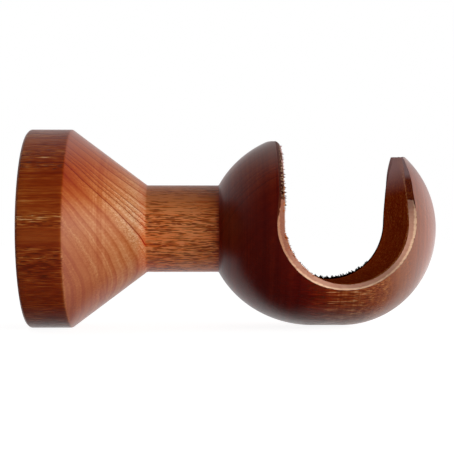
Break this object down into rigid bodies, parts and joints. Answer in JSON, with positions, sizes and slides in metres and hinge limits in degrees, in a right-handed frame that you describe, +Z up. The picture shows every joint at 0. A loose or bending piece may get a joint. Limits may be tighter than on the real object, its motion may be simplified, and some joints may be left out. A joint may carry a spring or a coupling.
{
  "type": "curtain pole bracket",
  "caption": "Turned wooden wall bracket: a round base tapers to a neck that carries a ball with an open-topped slot for a curtain pole.",
  "frame": {"origin": "centre of the round face that stands against the wall", "axes": "+X straight out of the wall along the turned axis, +Y along the pole, +Z up, out of the slot's open top"},
  "size_m": [0.1024, 0.05, 0.05],
  "materials": {
    "wood": "oiled and polished, reddish brown, open pored"
  },
  "bodies": {
    "root": {"bracket": "wood"}
  },
  "joints": []
}
